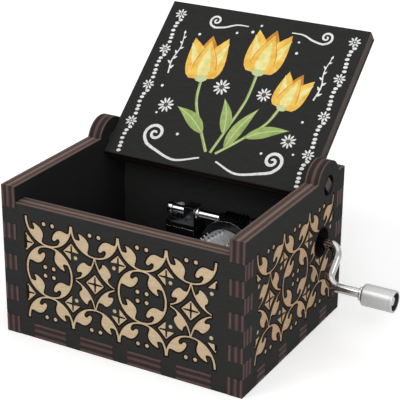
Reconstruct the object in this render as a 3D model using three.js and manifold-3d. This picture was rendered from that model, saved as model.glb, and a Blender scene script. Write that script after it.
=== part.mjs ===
// Hand-cranked music box: a finger-jointed plywood box, a pivoting lid and a comb movement turned by a crank.
// Millimetres, +Z up, +Y to the back, +X to the crank side, origin at the centre of the underside.
import * as THREE from 'three';
import { mergeVertices } from 'three/addons/utils/BufferGeometryUtils.js';
import Module from 'manifold-3d';

const wasm = await Module();
wasm.setup();

// Box
const boxWidth = 64;
const boxDepth = 51.2;
const sideWallHeight = 38.1;
const plyThickness = 3.9;
const fingerGap = 0.05;
const restGap = 0.05;

// Finger joints at the four corners, and tabs of the bottom plate
const cornerFingerCount = 4;
const lowestFingerRise = 0.75;
const frontShoulderHeight = 1.5;
const frontTabCount = 4;
const frontTabMargin = 4.1;
const sideTabCount = 4;
const sideTabMargin = 3.2;

// Lid, which turns on two tabs in the ears of the side walls
const lidThickness = 3.8;
const lidSideGap = 0.1;
const lidSwingGap = 0.2;
const lidTabWidth = 2.6;
const pivotSetback = 5.15;
const earRadius = 6;

// Cylinder of the movement, along Y
const cylinderWallDistance = 19.1;
const cylinderHeight = 12.9;
const drumRadius = 5.7;
const drumWall = 0.5;
const pinCount = 81;
const pinRadius = 0.2;
const pinTipRadius = 0.14;
const pinHeight = 0.6;
const capThickness = 1.5;
const arborRadius = 0.8;
const arborHeadWall = 0.7;
const arborHeadLength = 0.5;
const arborTail = 1.6;
const arborClipWall = 0.8;
const clipThickness = 0.5;

// Worm drive from the crank shaft to the cylinder
const gearToothCount = 22;
const gearPitchRadius = 3.7;
const gearWidth = 2.6;
const wormWall = 0.37;
const wormLength = 8.4;
const toothAddendum = 0.32;
const toothDedendum = 0.38;
const threadEndMargin = 0.4;

// Crank, bent from one round rod
const rodRadius = 1.15;
const rodOverhang = 0.1;
const armReach = 4.9;
const crankRadius = 10.1;
const crankAngle = THREE.MathUtils.degToRad(-47);
const bendRadius = 3;
const crankHoleRadius = 3.65;
const shaftClipWall = 0.25;
const shaftClipLength = 1.2;

// Crank knob, which spins on the rod
const handleReach = 9.5;
const knobLength = 7.8;
const knobRadius = 2.65;
const knobEdge = 0.8;
const knobWall = 0.5;
const knobHollowDepth = 3;
const knobClipWall = 0.45;
const collarWall = 0.6;
const collarThickness = 0.6;
const rodTail = 1.7;

// Moulded frame of the movement
const shaftWallDistance = 7.8;
const basePlateThickness = 2;
const frameFrontGap = 3.2;
const frameEdge = 0.8;
const archRadius = 7;
const archRise = 0.7;
const archThickness = 2.4;
const frontCheekRadius = 4.2;
const frontCheekThickness = 2.2;
const shaftPostWall = 0.85;
const shaftPostThickness = 2.4;
const bossRadius = 2.6;
const bossHeight = 6;
const bossSetback = 2.3;

// Comb, on a ledge of the frame
const combToothCount = 18;
const combEndMargin = 0.6;
const combSlotWidth = 0.25;
const combRise = 0.8;
const combThickness = 1.6;
const combToothThickness = 0.8;
const combLongTooth = 8.6;
const combShortTooth = 6.4;
const combTipGap = 0.3;
const combRootDepth = 5.85;
const combScrewInset = 3.2;
const ledgeWidth = 6.8;

// Bracket that holds the left end of the crank shaft
const columnDrop = 4;
const bracketReach = 18.8;
const bracketWidth = 8;
const bracketFrontReach = 2.1;
const bracketBaseThickness = 1.6;
const postWidth = 2.9;
const saddleWidth = 3.3;
const saddleGap = 0.35;
const postCover = 0.75;
const bracketLedgeDepth = 2;
const bracketLedgeDrop = 0.3;
const bracketScrewInset = 1.6;
const bracketScrewSpan = 3.5;

// Screws: head radius, head height, shank radius, shank length and slot
const combScrew = { head: 1.7, height: 0.9, shank: 0.9, length: 6, slot: 0.4, slotDepth: 0.4 };
const bracketScrew = { head: 0.9, height: 0.6, shank: 0.5, length: 6, slot: 0.25, slotDepth: 0.25 };
const baseScrew = { head: 2.4, height: 1.5, shank: 1.2, length: 6.5, slot: 0.6, slotDepth: 0.6 };
const baseScrewRecess = 0.4;

// Clearances and the overrun of every cutting tool
const fitGap = 0.1;
const runGap = 0.3;
const holeGap = 0.2;
const overrun = 1;

// Counts of facets
const roundSides = 32;
const smallSides = 16;
const bendSteps = 6;
const threadSteps = 12;
const pinSides = 4;
const curveSteps = 8;
const edgeSteps = 3;

// Shares of the tab pitches and of the comb's half length
const frontTabShare = 0.69;
const sideTabShare = 0.35;
const combScrewShare = 0.45;

// Shares of the tooth pitch and the angle that set the worm, gear and pin pattern
const threadRootShare = 0.49;
const threadTipShare = 0.25;
const toothRootShare = 0.6;
const toothTipShare = 0.24;
const goldenAngle = Math.PI * (3 - Math.sqrt(5));

// Places worked out from the sizes above
const halfWidth = boxWidth / 2;
const halfDepth = boxDepth / 2;
const innerHalfWidth = halfWidth - plyThickness;
const innerHalfDepth = halfDepth - plyThickness;
const pivotY = innerHalfDepth - pivotSetback;
const pivotZ = sideWallHeight - lidThickness / 2;
const pivotHoleRadius = Math.hypot(lidThickness, lidTabWidth) / 2 + holeGap;
const lidRearOverhang = Math.sqrt((pivotSetback - lidSwingGap) ** 2 - (lidThickness / 2) ** 2);
const lowestFingerHeight = plyThickness + lowestFingerRise;
const frontWallHeight = sideWallHeight - lidThickness - restGap;
const cylinderX = innerHalfWidth - cylinderWallDistance;
const cylinderZ = plyThickness + cylinderHeight;
const wormPitchRadius = rodRadius + fitGap + wormWall + toothDedendum;
const wormTipRadius = wormPitchRadius + toothAddendum;
const gearTipRadius = gearPitchRadius + toothAddendum;
const shaftY = innerHalfDepth - shaftWallDistance;
const shaftZ = cylinderZ + gearPitchRadius + wormPitchRadius;
const frameBottom = plyThickness + restGap;
const basePlateTop = frameBottom + basePlateThickness;
const frameFront = frameFrontGap - innerHalfDepth;
const frontCheekBack = frameFront + frontCheekThickness;
const gearFront = shaftY - gearWidth / 2;
const gearBack = shaftY + gearWidth / 2;
const archBack = shaftY - Math.max(gearWidth / 2, wormTipRadius) - runGap;
const archFront = archBack - archThickness;
const drumFront = frontCheekBack + runGap;
const drumBack = archFront - runGap;
const pinCircleRadius = drumRadius + pinHeight;
const bossX = cylinderX + pinCircleRadius + bossSetback;
const combTop = cylinderZ + combRise;
const combTipX = cylinderX - Math.sqrt(pinCircleRadius ** 2 - combRise ** 2) - combTipGap;
const frameLeft = combTipX - combLongTooth - combRootDepth;
const frameRight = bossX + bossRadius + frameEdge;
const combMiddleY = (drumFront + drumBack) / 2;
const combHalfLength = (drumBack - drumFront) / 2 - combEndMargin;
const combToothPitch = 2 * combHalfLength / combToothCount;
const ledgeRight = frameLeft + ledgeWidth;
const columnTop = shaftZ - columnDrop;
const arborHeadRadius = arborRadius + arborHeadWall;
const arborClipRadius = arborRadius + arborClipWall;
const shaftClipRadius = rodRadius + fitGap + shaftClipWall;
const knobClipRadius = rodRadius + knobClipWall;
const collarRadius = rodRadius + collarWall;
const shaftPostRadius = rodRadius + shaftPostWall;
const bracketLeft = cylinderX - bracketReach;
const bracketRight = bracketLeft + bracketWidth;
const bracketFront = shaftY - bracketFrontReach;
const bracketLedgeFront = shaftY + shaftClipRadius + holeGap;
const bracketLedgeTop = shaftZ - bracketLedgeDrop;
const frameBack = bracketLedgeFront + bracketLedgeDepth;
const rodStart = bracketLeft - rodOverhang;
const armX = halfWidth + armReach;
const knobStart = armX + handleReach;
const threadPitch = 2 * Math.PI * gearPitchRadius / gearToothCount;

const paint = { color: 0x2f3132, roughness: 0.75, metalness: 0 };
const blackPlastic = { color: 0x141414, roughness: 0.45, metalness: 0 };
const steel = { color: 0xc9cbcc, roughness: 0.3, metalness: 1 };
const chrome = { color: 0xe2e4e6, roughness: 0.12, metalness: 1 };
const satinNickel = { color: 0xc4c5c6, roughness: 0.35, metalness: 1 };
const brass = { color: 0xb9974f, roughness: 0.35, metalness: 1 };

const axisX = new THREE.Vector3(1, 0, 0);
const axisY = new THREE.Vector3(0, 1, 0);
const axisZ = new THREE.Vector3(0, 0, 1);

// For each axis, the turn that carries a shape drawn about or along its own Y or Z to that axis
const fromLocalY = {
  x: new THREE.Matrix4().makeBasis(axisZ, axisX, axisY),
  y: new THREE.Matrix4(),
  z: new THREE.Matrix4().makeBasis(axisY, axisZ, axisX),
};

function solidOf(geometry) {
  const bare = geometry.clone();
  bare.deleteAttribute('normal');
  bare.deleteAttribute('uv');
  const welded = mergeVertices(bare);
  const triVerts = Uint32Array.from(welded.index.array);
  const vertProperties = welded.attributes.position.array;
  return new wasm.Manifold(new wasm.Mesh({ numProp: 3, vertProperties, triVerts }));
}

function geometryOf(solid) {
  const mesh = solid.getMesh();
  const geometry = new THREE.BufferGeometry();
  geometry.setAttribute('position', new THREE.BufferAttribute(mesh.vertProperties, 3));
  geometry.setIndex(new THREE.BufferAttribute(mesh.triVerts, 1));
  geometry.computeVertexNormals();
  return geometry;
}

function join(solids) {
  return solids.reduce((whole, solid) => whole.add(solid));
}

function cut(solid, tools) {
  return tools.reduce((rest, tool) => rest.subtract(tool), solid);
}

// A block between two opposite corners
function block(low, high) {
  const size = high.map((value, axis) => value - low[axis]);
  const middle = high.map((value, axis) => (value + low[axis]) / 2);
  return solidOf(new THREE.BoxGeometry(...size).translate(...middle));
}

// A turned shape about an axis through a point; the outline holds pairs of radius and place on the axis
function turnedGeometry(axis, centre, outline, sides = roundSides) {
  const points = outline.map(([radius, place]) => new THREE.Vector2(radius, place));
  const geometry = new THREE.LatheGeometry(points, sides);
  return geometry.applyMatrix4(fromLocalY[axis]).translate(...centre);
}

// A round bar between two places on an axis through a point
function bar(axis, centre, radius, from, to, sides = roundSides) {
  return solidOf(turnedGeometry(axis, centre, [[0, from], [radius, from], [radius, to], [0, to]], sides));
}

// A round tube or washer with a bore
function tube(axis, centre, radius, bore, from, to, sides = roundSides) {
  const outline = [[radius, from], [radius, to], [bore, to], [bore, from], [radius, from]];
  return solidOf(turnedGeometry(axis, centre, outline, sides));
}

// An upright cheek with a half-round top, seen along Y
function cheek(x, archZ, radius, bottom, front, back) {
  const shape = new THREE.Shape();
  shape.moveTo(bottom, x - radius);
  shape.lineTo(archZ, x - radius);
  shape.absarc(archZ, x, radius, -Math.PI / 2, Math.PI / 2, false);
  shape.lineTo(bottom, x + radius);
  const options = { depth: back - front, bevelEnabled: false, curveSegments: curveSteps };
  const geometry = new THREE.ExtrudeGeometry(shape, options);
  geometry.applyMatrix4(new THREE.Matrix4().makeBasis(axisZ, axisX, axisY));
  return solidOf(geometry.translate(0, front, 0));
}

function piece(parent, name, geometry, finish) {
  const mesh = new THREE.Mesh(geometry, new THREE.MeshStandardMaterial(finish));
  mesh.name = name;
  parent.add(mesh);
  return mesh;
}

// Heights at which the front and back walls reach through the side walls
function cornerFingers() {
  const steps = 2 * cornerFingerCount - 1;
  const height = (frontWallHeight - lowestFingerHeight - frontShoulderHeight) / steps;
  return Array.from({ length: cornerFingerCount }, (_, index) => {
    const low = lowestFingerHeight + 2 * index * height;
    return [low, low + height];
  });
}

// Spans of evenly spread tabs of the bottom plate along a wall
function tabSpans(count, halfLength, tabShare, margin) {
  const pitch = 2 * (halfLength - margin) / (count - 1 + tabShare);
  return Array.from({ length: count }, (_, index) => {
    const low = margin - halfLength + index * pitch;
    return [low, low + tabShare * pitch];
  });
}

const frontTabs = tabSpans(frontTabCount, innerHalfWidth, frontTabShare, frontTabMargin);
const sideTabs = tabSpans(sideTabCount, innerHalfDepth, sideTabShare, sideTabMargin);
const plateTopCut = plyThickness + fingerGap;

// Front wall at end -1 and back wall at end 1
function endWall(end, height) {
  const outer = end * halfDepth;
  const inner = end * innerHalfDepth;
  const front = Math.min(outer, inner);
  const back = Math.max(outer, inner);
  const reach = innerHalfWidth - fingerGap;
  const rows = cornerFingers().map(([low, high]) => block([-halfWidth, front, low], [halfWidth, back, high]));
  const slots = frontTabs.map(([left, right]) => block(
    [left - fingerGap, front - overrun, -overrun],
    [right + fingerGap, back + overrun, plateTopCut],
  ));
  return geometryOf(cut(join([block([-reach, front, 0], [reach, back, height]), ...rows]), slots));
}

// Outline of a side wall with the ear for the lid pivot, drawn in the YZ plane
function sideWallShape() {
  const shape = new THREE.Shape();
  const earStart = Math.asin((sideWallHeight - pivotZ) / earRadius);
  shape.moveTo(-halfDepth, 0);
  shape.lineTo(halfDepth, 0);
  shape.lineTo(halfDepth, sideWallHeight);
  shape.absarc(pivotY, pivotZ, earRadius, earStart, Math.PI - earStart, false);
  shape.lineTo(-halfDepth, sideWallHeight);
  const pivotHole = new THREE.Path();
  pivotHole.absarc(pivotY, pivotZ, pivotHoleRadius, 0, 2 * Math.PI, true);
  shape.holes.push(pivotHole);
  return shape;
}

// Left wall at side -1 and right wall at side 1
function sideWall(side) {
  const left = Math.min(side * halfWidth, side * innerHalfWidth);
  const right = left + plyThickness;
  const options = { depth: plyThickness, bevelEnabled: false, curveSegments: smallSides };
  const geometry = new THREE.ExtrudeGeometry(sideWallShape(), options);
  geometry.applyMatrix4(new THREE.Matrix4().makeBasis(axisY, axisZ, axisX)).translate(left, 0, 0);
  const notches = [-1, 1].flatMap((end) => cornerFingers().map(([low, high]) => {
    const near = end * (innerHalfDepth - fingerGap);
    const far = end * (halfDepth + overrun);
    return block(
      [left - overrun, Math.min(near, far), low - fingerGap],
      [right + overrun, Math.max(near, far), high + fingerGap],
    );
  }));
  const slots = sideTabs.map(([front, back]) => block(
    [left - overrun, front - fingerGap, -overrun],
    [right + overrun, back + fingerGap, plateTopCut],
  ));
  return cut(solidOf(geometry), [...notches, ...slots]);
}

function bottomPlate() {
  const reachX = innerHalfWidth - fingerGap;
  const reachY = innerHalfDepth - fingerGap;
  const core = block([-reachX, -reachY, 0], [reachX, reachY, plyThickness]);
  const across = frontTabs.map(([left, right]) => block(
    [left, -halfDepth, 0],
    [right, halfDepth, plyThickness],
  ));
  const along = sideTabs.map(([front, back]) => block(
    [-halfWidth, front, 0],
    [halfWidth, back, plyThickness],
  ));
  const screwHoles = baseScrewPlaces().flatMap(([x, y]) => [
    bar('z', [x, y, 0], baseScrew.head + holeGap, -overrun, baseScrewRecess + baseScrew.height, smallSides),
    bar('z', [x, y, 0], baseScrew.shank + holeGap, 0, plyThickness + overrun, smallSides),
  ]);
  return geometryOf(cut(join([core, ...across, ...along]), screwHoles));
}

// Lid in its own frame: pivot at the origin, free end along +Y, inner face up
function lid() {
  const reach = innerHalfWidth - lidSideGap;
  const half = lidThickness / 2;
  const board = block([-reach, -lidRearOverhang, -half], [reach, pivotY + halfDepth, half]);
  const tabs = block([-halfWidth, -lidTabWidth / 2, -half], [halfWidth, lidTabWidth / 2, half]);
  return geometryOf(join([board, tabs]));
}

// Angle of the open lid, which leans on the inner top edge of the back wall
function openLidAngle() {
  const rise = sideWallHeight - pivotZ;
  const distance = Math.hypot(pivotSetback, rise);
  return Math.atan2(rise, pivotSetback) + Math.asin((lidThickness / 2 + restGap) / distance);
}

// A slotted screw, head up, with the underside of its head at the origin
function screw({ head, height, shank, length, slot, slotDepth }) {
  const outline = [[0, -length], [shank, -length], [shank, 0], [head, 0], [head, height - slotDepth]];
  const crown = [[head - slotDepth / 2, height], [0, height]];
  const body = solidOf(turnedGeometry('z', [0, 0, 0], [...outline, ...crown], smallSides));
  const groove = block(
    [-slot / 2, -head - overrun, height - slotDepth],
    [slot / 2, head + overrun, height + overrun],
  );
  return geometryOf(cut(body, [groove]));
}

function baseScrewPlaces() {
  return [
    [frameLeft + combScrewInset, combMiddleY],
    [bossX, drumFront + bossRadius],
    [bossX, drumBack - bossRadius],
  ];
}

function combScrewPlaces() {
  const x = frameLeft + combScrewInset;
  return [-1, 1].map((end) => [x, combMiddleY + end * combScrewShare * combHalfLength]);
}

function bracketScrewPlaces() {
  const y = frameBack - bracketLedgeDepth / 2;
  const x = bracketLeft + bracketScrewInset;
  return [[x, y], [x + bracketScrewSpan, y]];
}

// Moulded frame: base plate, comb ledge, cylinder cheeks, shaft column, shaft post and screw bosses
function movementFrame() {
  const ledgeTop = combTop - combThickness - restGap;
  const postLeft = cylinderX + Math.max(wormLength / 2, gearTipRadius) + runGap;
  const postRight = postLeft + shaftPostThickness;
  const solids = [
    block([frameLeft, frameFront, frameBottom], [frameRight, frameBack, basePlateTop]),
    block(
      [frameLeft, combMiddleY - combHalfLength, frameBottom],
      [ledgeRight, combMiddleY + combHalfLength, ledgeTop],
    ),
    cheek(cylinderX, cylinderZ, frontCheekRadius, frameBottom, frameFront, frontCheekBack),
    cheek(cylinderX, cylinderZ + archRise, archRadius, frameBottom, archFront, archBack),
    block([bracketLeft, bracketFront, frameBottom], [bracketRight, frameBack, columnTop]),
    block(
      [postLeft, shaftY - shaftPostRadius, frameBottom],
      [postRight, shaftY + shaftPostRadius, shaftZ],
    ),
    bar('x', [0, shaftY, shaftZ], shaftPostRadius, postLeft, postRight),
    ...baseScrewPlaces().map(([x, y]) => (
      bar('z', [x, y, 0], bossRadius, frameBottom, basePlateTop + bossHeight, smallSides)
    )),
  ];
  const arborHole = bar('y', [cylinderX, 0, cylinderZ], arborRadius + holeGap, frameFront - overrun,
    frameBack + overrun, smallSides);
  const shaftHole = bar('x', [0, shaftY, shaftZ], rodRadius + holeGap, cylinderX,
    postRight + overrun, smallSides);
  const baseHoles = baseScrewPlaces().map(([x, y]) => bar('z', [x, y, 0], baseScrew.shank + fitGap,
    -overrun, baseScrewRecess + baseScrew.height + baseScrew.length + holeGap, smallSides));
  const combHoles = combScrewPlaces().map(([x, y]) => bar('z', [x, y, 0], combScrew.shank + fitGap,
    combTop - combScrew.length - holeGap, combTop, smallSides));
  const bracketHoles = bracketScrewPlaces().map(([x, y]) => bar('z', [x, y, 0], bracketScrew.shank + fitGap,
    bracketLedgeTop - bracketScrew.length - holeGap, bracketLedgeTop, smallSides));
  const holes = [arborHole, shaftHole, ...baseHoles, ...combHoles, ...bracketHoles];
  return geometryOf(cut(join(solids), holes));
}

// Bracket with a bearing post, a lower saddle under the shaft and a screwed ledge behind it
function shaftBracket() {
  const bottom = columnTop + restGap;
  const ledgeRight = bracketLeft + 2 * bracketScrewInset + bracketScrewSpan;
  const postLeft = bracketRight - postWidth;
  const postTop = shaftZ + rodRadius + postCover;
  const solids = [
    block([bracketLeft, bracketFront, bottom], [bracketRight, frameBack, bottom + bracketBaseThickness]),
    block([postLeft, bracketFront, bottom], [bracketRight, bracketLedgeFront, postTop]),
    block(
      [postLeft - saddleWidth, bracketFront, bottom],
      [postLeft, bracketLedgeFront, shaftZ - rodRadius - saddleGap],
    ),
    block([bracketLeft, bracketLedgeFront, bottom], [ledgeRight, frameBack, bracketLedgeTop]),
  ];
  const shaftHole = bar('x', [0, shaftY, shaftZ], rodRadius + holeGap, bracketLeft - overrun,
    bracketRight + overrun, smallSides);
  const screwHoles = bracketScrewPlaces().map(([x, y]) => (
    bar('z', [x, y, 0], bracketScrew.shank + fitGap, bottom - overrun, bracketLedgeTop + overrun, smallSides)
  ));
  return geometryOf(cut(join(solids), [shaftHole, ...screwHoles]));
}

// Comb: a screwed root plate with thin teeth that grow longer to the front
function comb() {
  const slopeBack = combTipX - combShortTooth;
  const slopeFront = combTipX - combLongTooth;
  const front = combMiddleY - combHalfLength;
  const back = combMiddleY + combHalfLength;
  const rootShape = new THREE.Shape([
    new THREE.Vector2(frameLeft, front),
    new THREE.Vector2(slopeFront, front),
    new THREE.Vector2(slopeBack, back),
    new THREE.Vector2(frameLeft, back),
  ]);
  const root = new THREE.ExtrudeGeometry(rootShape, { depth: combThickness, bevelEnabled: false });
  root.translate(0, 0, combTop - combThickness);
  const teeth = Array.from({ length: combToothCount }, (_, index) => {
    const low = front + index * combToothPitch + combSlotWidth / 2;
    const high = low + combToothPitch - combSlotWidth;
    return block([slopeFront - combSlotWidth, low, combTop - combToothThickness], [combTipX, high, combTop]);
  });
  const holes = combScrewPlaces().map(([x, y]) => bar('z', [x, y, 0], combScrew.shank + holeGap,
    combTop - combThickness - overrun, combTop + overrun, smallSides));
  return geometryOf(cut(join([solidOf(root), ...teeth]), holes));
}

// Pinned drum: one pin after another, spread over the tracks and around the drum
function drum() {
  const shell = tube('y', [cylinderX, 0, cylinderZ], drumRadius, drumRadius - drumWall, drumFront, drumBack);
  const pins = Array.from({ length: pinCount }, (_, index) => {
    const track = index % combToothCount;
    const y = combMiddleY - combHalfLength + (track + 1 / 2) * combToothPitch;
    const geometry = new THREE.CylinderGeometry(pinTipRadius, pinRadius, pinHeight + drumWall / 2, pinSides);
    geometry.translate(0, drumRadius + (pinHeight - drumWall / 2) / 2, 0).rotateX(Math.PI / 2);
    return solidOf(geometry.rotateY(index * goldenAngle).translate(cylinderX, y, cylinderZ));
  });
  return geometryOf(join([shell, ...pins]));
}

function drumCap(from) {
  const radius = drumRadius - drumWall - fitGap;
  const bore = arborRadius + fitGap;
  return geometryOf(tube('y', [cylinderX, 0, cylinderZ], radius, bore, from, from + capThickness));
}

// Arbor with a head at the front end, in front of the front cheek
function arbor() {
  const headBack = frameFront - holeGap;
  const headFront = headBack - arborHeadLength;
  const end = gearBack + arborTail;
  const outline = [
    [0, headFront], [arborHeadRadius, headFront], [arborHeadRadius, headBack],
    [arborRadius, headBack], [arborRadius, end], [0, end],
  ];
  return turnedGeometry('y', [cylinderX, 0, cylinderZ], outline, smallSides);
}

// Gear with slanted teeth that follow the worm thread, a gap between two teeth straight up
function driveGear() {
  const root = gearPitchRadius - toothDedendum;
  const step = 2 * Math.PI / gearToothCount;
  const corners = [
    [root, -toothRootShare / 2], [gearTipRadius, -toothTipShare / 2],
    [gearTipRadius, toothTipShare / 2], [root, toothRootShare / 2],
  ];
  const points = Array.from({ length: gearToothCount }, (_, tooth) => corners.map(([radius, share]) => {
    const angle = (tooth + 1 / 2 + share) * step;
    return new THREE.Vector2(radius * Math.cos(angle), radius * Math.sin(angle));
  })).flat();
  const outline = new THREE.Shape(points);
  const geometry = new THREE.ExtrudeGeometry(outline, { depth: gearWidth, bevelEnabled: false });
  const slant = threadPitch / (2 * Math.PI * wormPitchRadius * gearPitchRadius);
  const place = geometry.attributes.position;
  const point = new THREE.Vector3();
  for (let index = 0; index < place.count; index += 1) {
    point.fromBufferAttribute(place, index);
    point.applyAxisAngle(axisZ, slant * (point.z - gearWidth / 2));
    place.setXYZ(index, point.x, point.y, point.z);
  }
  geometry.applyMatrix4(new THREE.Matrix4().makeBasis(axisZ, axisX, axisY));
  const bore = bar('y', [0, 0, 0], arborRadius + fitGap, -overrun, gearWidth + overrun, smallSides);
  return geometryOf(cut(solidOf(geometry), [bore]));
}

// Path of straight runs and bends through a list of stations, one ring of a tube at each
class StationPath extends THREE.Curve {
  constructor(stations) {
    super();
    this.stations = stations;
  }

  getPoint(share) {
    const place = share * (this.stations.length - 1);
    const index = Math.min(Math.floor(place), this.stations.length - 2);
    return this.stations[index].clone().lerp(this.stations[index + 1], place - index);
  }

  getUtoTmapping(share) {
    return share;
  }
}

// Quarter bend in the XZ plane
function bend(centreX, centreZ, fromAngle, toAngle) {
  return Array.from({ length: bendSteps + 1 }, (_, index) => {
    const angle = fromAngle + (toAngle - fromAngle) * index / bendSteps;
    const x = centreX + bendRadius * Math.cos(angle);
    return new THREE.Vector3(x, 0, centreZ + bendRadius * Math.sin(angle));
  });
}

const hollowFloor = knobStart + knobLength - knobHollowDepth;
const rodEnd = hollowFloor + holeGap + collarThickness + rodTail;

// Crank rod in the frame of the shaft: along X, down the arm, and out again under the knob
function crankRod() {
  const stations = [
    new THREE.Vector3(rodStart, 0, 0),
    ...bend(armX - bendRadius, -bendRadius, Math.PI / 2, 0),
    ...bend(armX + bendRadius, bendRadius - crankRadius, Math.PI, 3 * Math.PI / 2),
    new THREE.Vector3(rodEnd, 0, -crankRadius),
  ];
  const section = new THREE.Shape();
  section.absarc(0, 0, rodRadius, 0, 2 * Math.PI, false);
  return new THREE.ExtrudeGeometry(section, {
    steps: stations.length - 1,
    curveSegments: curveSteps,
    extrudePath: new StationPath(stations),
  });
}

// Ridge of a right-hand thread about X, whose middle stands at the bottom of the shaft over the gear axis
function threadRidge() {
  const root = wormPitchRadius - toothDedendum - fitGap;
  const halfRoot = threadPitch * threadRootShare / 2;
  const halfTip = threadPitch * threadTipShare / 2;
  const reach = wormLength / 2 - threadEndMargin - halfRoot;
  const turns = 2 * reach / threadPitch;
  const steps = Math.round(turns * threadSteps);
  const phase = -Math.PI / 2 - crankAngle;
  const section = [[root, -halfRoot], [wormTipRadius, -halfTip], [wormTipRadius, halfTip], [root, halfRoot]];
  const places = [];
  for (let step = 0; step <= steps; step += 1) {
    const along = reach * (2 * step / steps - 1);
    const angle = phase + 2 * Math.PI * along / threadPitch;
    for (const [radius, offset] of section) {
      places.push(cylinderX + along + offset, radius * Math.cos(angle), radius * Math.sin(angle));
    }
  }
  const corners = [];
  for (let step = 0; step < steps; step += 1) {
    for (let side = 0; side < section.length; side += 1) {
      const here = step * section.length;
      const next = here + section.length;
      const other = (side + 1) % section.length;
      corners.push(here + side, next + side, here + other, here + other, next + side, next + other);
    }
  }
  const last = steps * section.length;
  corners.push(0, 1, 2, 0, 2, 3, last, last + 2, last + 1, last, last + 3, last + 2);
  const geometry = new THREE.BufferGeometry();
  geometry.setAttribute('position', new THREE.Float32BufferAttribute(places, 3));
  geometry.setIndex(corners);
  return solidOf(geometry);
}

function worm() {
  const radius = wormPitchRadius - toothDedendum;
  const left = cylinderX - wormLength / 2;
  const right = cylinderX + wormLength / 2;
  return geometryOf(join([tube('x', [0, 0, 0], radius, rodRadius + fitGap, left, right), threadRidge()]));
}

// Knob with a rounded inner edge, a bore for the rod and a hollow outer end
function knob() {
  const end = knobStart + knobLength;
  const bore = rodRadius + holeGap;
  const rounding = Array.from({ length: edgeSteps + 1 }, (_, index) => {
    const angle = Math.PI / 2 * index / edgeSteps;
    return [knobRadius - knobEdge * (1 - Math.sin(angle)), knobStart + knobEdge * (1 - Math.cos(angle))];
  });
  const outline = [
    ...rounding, [knobRadius, end], [knobRadius - knobWall, end], [knobRadius - knobWall, hollowFloor],
    [bore, hollowFloor], [bore, knobStart], rounding[0],
  ];
  return turnedGeometry('x', [0, 0, -crankRadius], outline);
}

function washer(centre, radius, from, thickness) {
  return geometryOf(tube('x', centre, radius, rodRadius + fitGap, from, from + thickness, smallSides));
}

function buildBox() {
  const group = new THREE.Group();
  const rightHole = bar('x', [0, shaftY, shaftZ], crankHoleRadius, innerHalfWidth - overrun,
    halfWidth + overrun);
  piece(group, 'front_wall', endWall(-1, frontWallHeight), paint);
  piece(group, 'back_wall', endWall(1, sideWallHeight), paint);
  piece(group, 'left_wall', geometryOf(sideWall(-1)), paint);
  piece(group, 'right_wall', geometryOf(cut(sideWall(1), [rightHole])), paint);
  piece(group, 'bottom_plate', bottomPlate(), paint);
  return group;
}

function buildLid() {
  const group = new THREE.Group();
  group.position.set(0, pivotY, pivotZ);
  group.rotation.x = openLidAngle();
  piece(group, 'lid', lid(), paint);
  return group;
}

function buildMovement() {
  const group = new THREE.Group();
  piece(group, 'movement_frame', movementFrame(), blackPlastic);
  piece(group, 'shaft_bracket', shaftBracket(), blackPlastic);
  piece(group, 'comb', comb(), steel);
  combScrewPlaces().forEach(([x, y], index) => {
    const mesh = piece(group, `comb_screw_${index + 1}`, screw(combScrew), steel);
    mesh.position.set(x, y, combTop + restGap);
  });
  bracketScrewPlaces().forEach(([x, y], index) => {
    const mesh = piece(group, `bracket_screw_${index + 1}`, screw(bracketScrew), steel);
    mesh.position.set(x, y, bracketLedgeTop + restGap);
  });
  baseScrewPlaces().forEach(([x, y], index) => {
    const mesh = piece(group, `base_screw_${index + 1}`, screw(baseScrew), steel);
    mesh.position.set(x, y, baseScrewRecess + baseScrew.height - restGap);
    mesh.rotation.x = Math.PI;
  });
  return group;
}

function buildCylinder() {
  const group = new THREE.Group();
  piece(group, 'pinned_drum', drum(), satinNickel);
  piece(group, 'drum_cap_front', drumCap(drumFront), brass);
  piece(group, 'drum_cap_back', drumCap(drumBack - capThickness), brass);
  piece(group, 'cylinder_arbor', arbor(), steel);
  const gear = piece(group, 'drive_gear', driveGear(), blackPlastic);
  gear.position.set(cylinderX, gearFront, cylinderZ);
  const clipFront = gearBack + holeGap;
  const clip = tube('y', [cylinderX, 0, cylinderZ], arborClipRadius, arborRadius + fitGap, clipFront,
    clipFront + clipThickness, smallSides);
  piece(group, 'arbor_clip', geometryOf(clip), steel);
  return group;
}

function buildCrank() {
  const group = new THREE.Group();
  const shaft = [0, 0, 0];
  const handle = [0, 0, -crankRadius];
  group.position.set(0, shaftY, shaftZ);
  group.rotation.x = crankAngle;
  piece(group, 'crank_rod', crankRod(), chrome);
  piece(group, 'crank_worm', worm(), blackPlastic);
  piece(group, 'shaft_washer', washer(shaft, collarRadius, bracketRight + holeGap, clipThickness), steel);
  piece(group, 'shaft_end_clip', washer(shaft, shaftClipRadius, rodStart + fitGap, shaftClipLength), chrome);
  piece(group, 'knob_collar', washer(handle, collarRadius, knobStart - holeGap - collarThickness,
    collarThickness), chrome);
  piece(group, 'knob_end_clip', washer(handle, knobClipRadius, hollowFloor + holeGap,
    collarThickness), steel);
  piece(group, 'crank_knob', knob(), satinNickel);
  return group;
}

const musicBox = new THREE.Group();
musicBox.name = 'music_box';
musicBox.add(buildBox(), buildLid(), buildMovement(), buildCylinder(), buildCrank());

export default musicBox;
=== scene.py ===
"""Looks of the hand-cranked music box: engraved plywood panels, a printed lid, the comb movement and the crank.

Lengths in the tables are millimetres; everything that reaches Blender is in metres.
"""
import math

import bmesh
import bpy
import numpy as np
from mathutils import Matrix, Vector
from mathutils.geometry import delaunay_2d_cdt


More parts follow.
